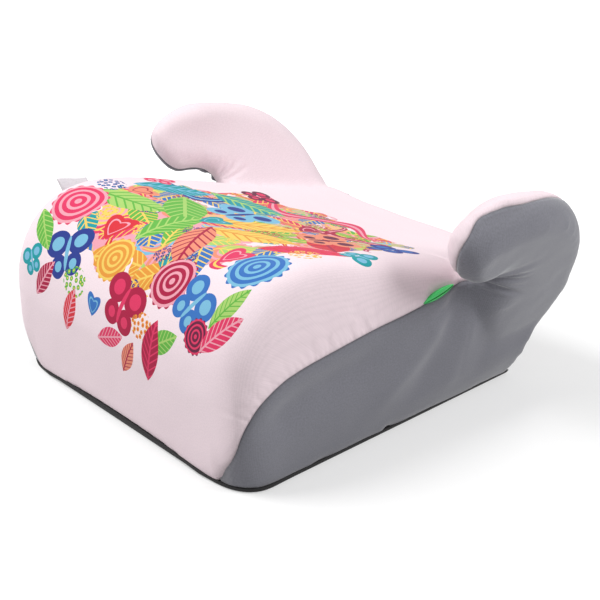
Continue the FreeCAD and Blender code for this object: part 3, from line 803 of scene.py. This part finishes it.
def clothMaterial(name, colour, stitch, mottle, bump, sheen, printed=None):
    material, tree, shader = newMaterial(name, 0.88, colour)
    shader.inputs["Sheen Weight"].default_value = sheen
    shader.inputs["Sheen Roughness"].default_value = 0.40
    shader.inputs["Specular IOR Level"].default_value = 0.25
    cloth = addNode(tree, "ShaderNodeUVMap", {"uv_map": "cloth"}).outputs[0]
    knit = useGroup(tree, stretchKnit, {"Stitch": stitch, "Mottle": mottle}, {"Cloth": cloth})
    distance = addNode(tree, "ShaderNodeAttribute", {"attribute_name": "seamDistance"}).outputs["Fac"]
    seam = useGroup(tree, seamShadow, links={"Distance": distance, "Cloth": cloth})
    base = (*colour, 1.0)
    if printed is not None:
        picture = useGroup(tree, printed, links={"Cloth": cloth})
        base = mixColour(tree, picture.outputs["Mask"], base, picture.outputs["Colour"])
    # the seams' painted shadow darkens the cloth's colour
    unshaded = maths(tree, "SUBTRACT", 1.0, seam.outputs[0], clamp=True)
    tint(tree, shader, base, maths(tree, "MULTIPLY", knit.outputs["Shade"], unshaded))
    bumpFrom(tree, shader, knit.outputs["Height"], bump, 0.0004)
    return material


def plasticMaterial(name, colour, roughness, wear, bump):
    material, tree, shader = newMaterial(name, roughness, colour)
    moulded = useGroup(tree, mouldedPlastic, {"Wear": wear}, {"Place": objectPlace(tree)})
    tint(tree, shader, colour, moulded.outputs["Shade"])
    rough = maths(tree, "ADD", moulded.outputs["Rough"], roughness, clamp=True)
    tree.links.new(rough, shader.inputs["Roughness"])
    bumpFrom(tree, shader, moulded.outputs["Height"], bump, 0.0002)
    return material


def foamMaterial():
    colour = srgb(232, 229, 214)
    material, tree, shader = newMaterial("openCellFoam", 0.95, colour)
    place = objectPlace(tree)
    cells = addNode(tree, "ShaderNodeTexVoronoi", values={"Scale": 620.0}, links={"Vector": place})
    cloud = maths(tree, "MULTIPLY_ADD", noiseNode(tree, place, 18.0, 3.0), 0.16, 0.92)
    pit = maths(tree, "MULTIPLY_ADD", cells.outputs["Distance"], 0.35, 0.80)
    tint(tree, shader, colour, maths(tree, "MULTIPLY", pit, cloud))
    bumpFrom(tree, shader, cells.outputs["Distance"], 0.5, 0.0005)
    return material


def wovenMaterial(name, colour, pitch, contrast, bump):
    material, tree, shader = newMaterial(name, 0.82, colour)
    place = objectPlace(tree)
    split = addNode(tree, "ShaderNodeSeparateXYZ", links={0: place})
    warp = maths(tree, "ADD", split.outputs[0], split.outputs[1])
    warp = maths(tree, "SINE", maths(tree, "MULTIPLY", warp, 2 * math.pi / pitch))
    weft = maths(tree, "SINE", maths(tree, "MULTIPLY", split.outputs[2], 2 * math.pi / pitch))
    weave = maths(tree, "MULTIPLY", warp, weft)
    fuzz = maths(tree, "MULTIPLY_ADD", noiseNode(tree, place, 500.0, 2.0), 0.2, 0.90)
    tint(tree, shader, colour, maths(tree, "MULTIPLY_ADD", weave, contrast, fuzz))
    bumpFrom(tree, shader, weave, bump, 0.0002)
    return material


def steelMaterial():
    colour = srgb(188, 190, 194)
    material, tree, shader = newMaterial("zincPlatedSteel", 0.35, colour)
    shader.inputs["Metallic"].default_value = 1.0
    spangle = noiseNode(tree, objectPlace(tree), 340.0, 4.0)
    tree.links.new(maths(tree, "MULTIPLY_ADD", spangle, 0.3, 0.22), shader.inputs["Roughness"])
    tint(tree, shader, colour, maths(tree, "MULTIPLY_ADD", spangle, 0.3, 0.82))
    bumpFrom(tree, shader, spangle, 0.15, 0.0002)
    return material


# print of the seat: butterflies, leaves, hearts, ringed discs, ribbons and berries, laid out one by one
palette = {
    "crimson": (178, 28, 70), "hotPink": (232, 58, 104), "blush": (246, 170, 186),
    "salmon": (243, 150, 122), "navy": (44, 62, 146), "royal": (58, 118, 196),
    "sky": (128, 194, 226), "teal": (32, 160, 168), "green": (104, 186, 74),
    "lime": (176, 216, 116), "yellow": (250, 214, 104), "orange": (238, 158, 62),
    "red": (224, 50, 62), "plum": (104, 34, 66),
}
inkStrength = 0.93


def ink(name):
    return (*srgb(*(inkStrength * value for value in palette[name])), 1.0)


# a motif reads its own coordinates, one unit from middle to edge, and gives two masks
def motifGroup(name, build):
    outputs = (("Shape", "Float"), ("Detail", "Float"))
    tree, given, out = newGroup(name, (("Spot", "Vector", None),), outputs)
    split = addNode(tree, "ShaderNodeSeparateXYZ", links={0: given["Spot"]})
    shape, detail = build(tree, split.outputs[0], split.outputs[1], given["Spot"])
    tree.links.new(shape, out["Shape"])
    tree.links.new(maths(tree, "MULTIPLY", shape, detail), out["Detail"])
    return tree


def below(tree, value, limit):
    return maths(tree, "LESS_THAN", value, limit)


def radiusOf(tree, x, y, stretchX=1.0, stretchY=1.0, moveX=0.0, moveY=0.0):
    u = maths(tree, "MULTIPLY_ADD", x, stretchX, -moveX * stretchX)
    v = maths(tree, "MULTIPLY_ADD", y, stretchY, -moveY * stretchY)
    return maths(tree, "SQRT", maths(tree, "MULTIPLY_ADD", u, u, maths(tree, "MULTIPLY", v, v)))


def leafMotif(tree, x, y, spot):
    side = maths(tree, "ABSOLUTE", y)
    belly = maths(tree, "MULTIPLY_ADD", maths(tree, "MULTIPLY", x, x), -0.42, 0.42)
    shape = below(tree, side, belly)
    rib = below(tree, side, 0.035)
    veins = maths(tree, "SINE", maths(tree, "MULTIPLY", maths(tree, "SUBTRACT", x, side), 26.0))
    return shape, maths(tree, "MAXIMUM", rib, maths(tree, "GREATER_THAN", veins, 0.72))


def butterflyMotif(tree, x, y, spot):
    wing = maths(tree, "ABSOLUTE", x)
    upper = radiusOf(tree, wing, y, 1.9, 2.2, 0.50, 0.36)
    lower = radiusOf(tree, wing, y, 2.6, 2.6, 0.36, -0.40)
    body = below(tree, radiusOf(tree, x, y, 11.0, 1.7), 1.0)
    wings = maths(tree, "MAXIMUM", below(tree, upper, 1.0), below(tree, lower, 1.0))
    core = maths(tree, "MAXIMUM", below(tree, upper, 0.52), below(tree, lower, 0.45))
    return maths(tree, "MAXIMUM", wings, body), maths(tree, "MAXIMUM", core, body)


def heartMotif(tree, x, y, spot):
    lobe = maths(tree, "MULTIPLY_ADD", maths(tree, "ABSOLUTE", x), -0.75, y)
    radius = radiusOf(tree, x, lobe, 1.12, 1.35)
    inner = maths(tree, "GREATER_THAN", radius, 0.54)
    return below(tree, radius, 1.0), maths(tree, "MULTIPLY", below(tree, radius, 0.66), inner)


def discMotif(tree, x, y, spot):
    radius = radiusOf(tree, x, y)
    turn = maths(tree, "ARCTAN2", y, x)
    scallops = maths(tree, "SINE", maths(tree, "MULTIPLY", turn, 16.0))
    rings = maths(tree, "SINE", maths(tree, "MULTIPLY", radius, 24.0))
    edge = maths(tree, "MULTIPLY_ADD", scallops, 0.045, 0.93)
    return below(tree, radius, edge), maths(tree, "GREATER_THAN", rings, 0.25)


def ribbonMotif(tree, x, y, spot):
    curl = maths(tree, "SINE", maths(tree, "MULTIPLY", x, 5.2))
    side = maths(tree, "ABSOLUTE", maths(tree, "MULTIPLY_ADD", curl, -0.24, y))
    taper = maths(tree, "MULTIPLY_ADD", maths(tree, "MULTIPLY", x, x), -0.13, 0.13)
    return below(tree, side, taper), below(tree, side, maths(tree, "MULTIPLY", taper, 0.28))


def berryMotif(tree, x, y, spot):
    cells = addNode(tree, "ShaderNodeTexVoronoi", {"voronoi_dimensions": "2D"},
                    {"Scale": 3.1, "Randomness": 0.55}, {"Vector": spot})
    inside = below(tree, radiusOf(tree, x, y, 1.0, 1.25), 0.90)
    shape = maths(tree, "MULTIPLY", inside, below(tree, cells.outputs["Distance"], 0.38))
    return shape, below(tree, cells.outputs["Distance"], 0.14)


motifs = {name: motifGroup(name + "Motif", build) for name, build in (
    ("leaf", leafMotif), ("butterfly", butterflyMotif), ("heart", heartMotif), ("disc", discMotif),
    ("ribbon", ribbonMotif), ("berry", berryMotif))}

# motif, place across, place along, turn in degrees, half size, ink, ink of the detail; millimetres
layout = [
    ("ribbon", -20, 400, 12, 95, "hotPink", "blush"),
    ("ribbon", 70, 370, -20, 75, "crimson", "blush"),
    ("ribbon", -85, 325, 40, 70, "navy", "sky"),
    ("leaf", -118, 293, 70, 40, "teal", "sky"),
    ("leaf", -70, 349, 20, 46, "teal", "lime"),
    ("leaf", -52, 259, -35, 50, "green", "lime"),
    ("leaf", -92, 225, 15, 44, "lime", "green"),
    ("leaf", 10, 293, 62, 50, "yellow", "orange"),
    ("leaf", 52, 259, 25, 48, "yellow", "orange"),
    ("leaf", 96, 312, -32, 46, "red", "crimson"),
    ("leaf", 122, 263, 40, 42, "hotPink", "red"),
    ("leaf", 30, 210, -60, 42, "salmon", "crimson"),
    ("leaf", -20, 220, 85, 40, "green", "lime"),
    ("disc", -128, 191, 0, 31, "hotPink", "blush"),
    ("disc", 134, 205, 20, 30, "royal", "sky"),
    ("disc", -26, 156, 0, 24, "orange", "yellow"),
    ("disc", 62, 160, 0, 27, "crimson", "blush"),
    ("butterfly", -92, 141, 24, 30, "navy", "sky"),
    ("butterfly", 14, 122, -12, 30, "crimson", "hotPink"),
    ("butterfly", 104, 150, -28, 27, "royal", "sky"),
    ("butterfly", -34, 312, 8, 36, "sky", "navy"),
    ("butterfly", 72, 332, -18, 32, "salmon", "plum"),
    ("butterfly", 116, 370, 15, 24, "navy", "royal"),
    ("butterfly", -104, 391, -10, 22, "plum", "hotPink"),
    ("heart", -58, 182, 8, 19, "red", "blush"),
    ("heart", 92, 207, -12, 18, "hotPink", "blush"),
    ("heart", -112, 250, -15, 16, "salmon", "crimson"),
    ("heart", 28, 349, 10, 19, "crimson", "blush"),
    ("heart", -10, 259, -8, 17, "teal", "sky"),
    ("berry", -66, 120, 0, 20, "green", "yellow"),
    ("berry", 48, 113, 0, 17, "orange", "red"),
    ("berry", 138, 252, 0, 18, "yellow", "red"),
    ("berry", -136, 235, 0, 18, "navy", "sky"),
    ("leaf", -140, 152, -40, 26, "green", "lime"),
    ("leaf", -118, 109, 55, 24, "crimson", "blush"),
    ("leaf", 80, 109, 30, 24, "green", "lime"),
    ("leaf", 146, 160, 65, 24, "lime", "green"),
    ("leaf", 0, 88, 18, 22, "hotPink", "blush"),
    ("heart", -30, 107, -6, 12, "royal", "sky"),
    ("butterfly", 150, 299, -60, 18, "teal", "sky"),
    ("butterfly", -148, 293, 60, 18, "hotPink", "blush"),
    ("leaf", 64, 96, 80, 30, "crimson", "hotPink"),
    ("leaf", 28, 78, 60, 20, "salmon", "crimson"),
    ("disc", 124, 128, 0, 16, "plum", "hotPink"),
    ("leaf", 150, 138, 50, 26, "hotPink", "blush"),
    ("leaf", -70, 92, 70, 24, "red", "blush"),
    ("butterfly", -142, 120, 30, 17, "teal", "sky"),
]


# the ground between the large motifs: kind, spacing, half size, inks, ink of the detail, shift
ground = [
    ("disc", 0.042, 0.0260, ("lime", "sky", "yellow", "blush", "salmon"), "blush", 0.3),
    ("ribbon", 0.050, 0.0400, ("hotPink", "salmon", "sky", "red"), "yellow", 4.1),
    ("leaf", 0.040, 0.0320, ("green", "teal", "lime", "hotPink", "royal", "orange"), "yellow", 1.7),
    ("berry", 0.046, 0.0150, ("red", "navy", "crimson", "yellow"), "orange", 2.9),
]
groundField = {"along": 0.285, "reach": (0.152, 0.160), "edge": 0.86, "waver": 0.55, "waverScale": 16.0}


def scatterLayer(tree, cloth, name, pitch, size, inks, detail, shift):
    moved = addNode(tree, "ShaderNodeMapping", values={"Location": (shift, 0.37 * shift, 0.0)},
                    links={"Vector": cloth})
    cells = addNode(tree, "ShaderNodeTexVoronoi", {"voronoi_dimensions": "2D"},
                    {"Scale": 1.0 / pitch, "Randomness": 0.7}, {"Vector": moved.outputs[0]})
    local = addNode(tree, "ShaderNodeVectorMath", {"operation": "SUBTRACT"},
                    links={0: moved.outputs[0], 1: cells.outputs["Position"]})
    chance = addNode(tree, "ShaderNodeSeparateColor", links={0: cells.outputs["Color"]})
    turn = maths(tree, "MULTIPLY", chance.outputs[0], 6.28)
    spin = addNode(tree, "ShaderNodeVectorRotate", {"rotation_type": "Z_AXIS"},
                   links={"Vector": local.outputs[0], "Angle": turn})
    unit = addNode(tree, "ShaderNodeVectorMath", {"operation": "SCALE"}, {"Scale": 1.0 / size},
                   {0: spin.outputs[0]})
    motif = useGroup(tree, motifs[name], links={"Spot": unit.outputs[0]})
    pick = addNode(tree, "ShaderNodeValToRGB", links={0: chance.outputs[1]})
    pick.color_ramp.interpolation = "CONSTANT"
    stops = pick.color_ramp.elements
    for index, colour in enumerate(inks):
        stop = stops[index] if index < 2 else stops.new(index / len(inks))
        stop.position = index / len(inks)
        stop.color = ink(colour)
    tone = mixColour(tree, motif.outputs["Detail"], pick.outputs[0], ink(detail))
    return motif.outputs["Shape"], tone


def printGroup():
    outputs = (("Colour", "Color"), ("Mask", "Float"))
    tree, given, out = newGroup("meadowPrint", (("Cloth", "Vector", None),), outputs)
    cloth = given["Cloth"]
    split = addNode(tree, "ShaderNodeSeparateXYZ", links={0: cloth})
    reachX, reachY = groundField["reach"]
    x, y = split.outputs[0], split.outputs[1]
    field = radiusOf(tree, x, y, 1 / reachX, 1 / reachY, 0.0, groundField["along"])
    waver = maths(tree, "SUBTRACT", noiseNode(tree, cloth, groundField["waverScale"], 2.0, "2D"), 0.5)
    field = maths(tree, "MULTIPLY_ADD", waver, groundField["waver"], field)
    inField = below(tree, field, groundField["edge"])
    colour, mask = ink("blush"), 0.0
    for layer in ground:
        shape, tone = scatterLayer(tree, cloth, *layer)
        shape = maths(tree, "MULTIPLY", shape, inField)
        colour = mixColour(tree, shape, colour, tone)
        mask = maths(tree, "MAXIMUM", mask, shape)
    for name, across, along, turned, size, first, second in layout:
        spot = addNode(tree, "ShaderNodeMapping", {"vector_type": "TEXTURE"}, {
            "Location": (across / 1000, along / 1000, 0.0), "Rotation": (0.0, 0.0, math.radians(turned)),
            "Scale": (size / 1000, size / 1000, 1.0)}, {"Vector": cloth})
        motif = useGroup(tree, motifs[name], links={"Spot": spot.outputs[0]})
        tone = mixColour(tree, motif.outputs["Detail"], ink(first), ink(second))
        colour = mixColour(tree, motif.outputs["Shape"], colour, tone)
        mask = maths(tree, "MAXIMUM", mask, motif.outputs["Shape"])
    tree.links.new(colour, out["Colour"])
    tree.links.new(mask, out["Mask"])
    return tree


meadowPrint = printGroup()
print("print laid out,", len(layout), "large motifs")

pinkCloth = clothMaterial("pinkStretchKnit", srgb(238, 220, 226), 700.0, 0.30, 0.08, 0.10, meadowPrint)
greyCloth = clothMaterial("greyStretchKnit", srgb(126, 126, 134), 700.0, 0.80, 0.22, 0.62)
blackPlastic = plasticMaterial("blackMouldedPlastic", srgb(17, 16, 18), 0.55, 0.25, 0.35)
corePlastic = plasticMaterial("blackCorePlastic", srgb(34, 33, 35), 0.60, 0.10, 0.25)
greenPlastic = plasticMaterial("greenGuidePlastic", srgb(66, 206, 108), 0.34, 0.10, 0.12)
whiteFoam = foamMaterial()
blackElastic = wovenMaterial("blackElastic", srgb(24, 22, 24), 0.0011, 0.25, 0.5)
whiteTape = wovenMaterial("whiteWovenTape", srgb(212, 206, 211), 0.0009, 0.05, 0.3)
zincSteel = steelMaterial()

finishes = {"base_shell": blackPlastic, "belt_guide": greenPlastic, "armrest_core": corePlastic,
            "armrest_screws": zincSteel, "seat_foam": whiteFoam, "armrest_foam": whiteFoam,
            "hem_elastic": blackElastic, "side_label": whiteTape, "cover_main": pinkCloth,
            "cover": greyCloth}
for name, node in nodes.items():
    finish = next(value for key, value in finishes.items() if name.startswith(key))
    node.data.materials.clear()
    node.data.materials.append(finish)
for title, piece in panels.items():
    piece.data.materials.append(pinkCloth if title == "coverMain" else greyCloth)
for piece in guides.values():
    piece.data.materials.append(greenPlastic)
for piece in foamPads.values():
    piece.data.materials.append(whiteFoam)
tape.data.materials.append(whiteTape)
print("finishes set")


# studio: a pale floor that whitens with distance, and three soft lamps
studio = {
    "floor": 0.55, "liftNear": 0.42, "liftFar": 1.0, "near": 0.30, "far": 1.10,
    "roomLight": 0.42,
    # place, size, power
    "keyLight": ((-0.8, -1.15, 1.95), 1.2, 42.0),
    "sideLight": ((1.75, 1.15, 1.40), 1.1, 27.0),
    "rearLight": ((1.2, 1.4, 1.7), 1.0, 2.0),
    "target": (0, 0, 0.1),
}


# one on the rays that see the background, nought on those that light the seat
def seenRays(tree):
    lightPath = tree.nodes.new("ShaderNodeLightPath")
    mirrored = maths(tree, "MAXIMUM", lightPath.outputs["Is Glossy Ray"],
                     lightPath.outputs["Is Transmission Ray"])
    return maths(tree, "MAXIMUM", lightPath.outputs["Is Camera Ray"], mirrored)


def softLight(name):
    place, size, power = studio[name]
    data = bpy.data.lights.new(name, "AREA")
    data.shape = "DISK"
    data.size = size
    data.energy = power
    lamp = bpy.data.objects.new(name, data)
    scene.collection.objects.link(lamp)
    lamp.location = place
    aim = Vector(place) - Vector(studio["target"])
    lamp.rotation_euler = aim.to_track_quat("Z", "Y").to_euler()


floorWork = bmesh.new()
bmesh.ops.create_grid(floorWork, x_segments=1, y_segments=1, size=6.0)
floor = meshPiece("studioFloor", floorWork, smooth=False)
floorWork.free()
paper, tree, shader = newMaterial("studioPaper", 0.95, (studio["floor"],) * 3)
shader.inputs["Emission Color"].default_value = (1, 1, 1, 1)
distance = addNode(tree, "ShaderNodeVectorMath", {"operation": "LENGTH"}, links={0: objectPlace(tree)})
lift = addNode(tree, "ShaderNodeMapRange", {"interpolation_type": "SMOOTHSTEP"}, {
    "From Min": studio["near"], "From Max": studio["far"],
    "To Min": studio["liftNear"], "To Max": studio["liftFar"]}, {"Value": distance.outputs["Value"]})
tree.links.new(maths(tree, "MULTIPLY", seenRays(tree), lift.outputs[0]), shader.inputs["Emission Strength"])
floor.data.materials.append(paper)

world = bpy.data.worlds.new("studioLight")
scene.world = world
world.use_nodes = True
tree = world.node_tree
strength = maths(tree, "MULTIPLY_ADD", seenRays(tree), 1.0 - studio["roomLight"], studio["roomLight"])
tree.links.new(strength, tree.nodes["Background"].inputs["Strength"])
tree.nodes["Background"].inputs["Color"].default_value = (1, 1, 1, 1)

for name in ("keyLight", "sideLight", "rearLight"):
    softLight(name)
print("studio lit")
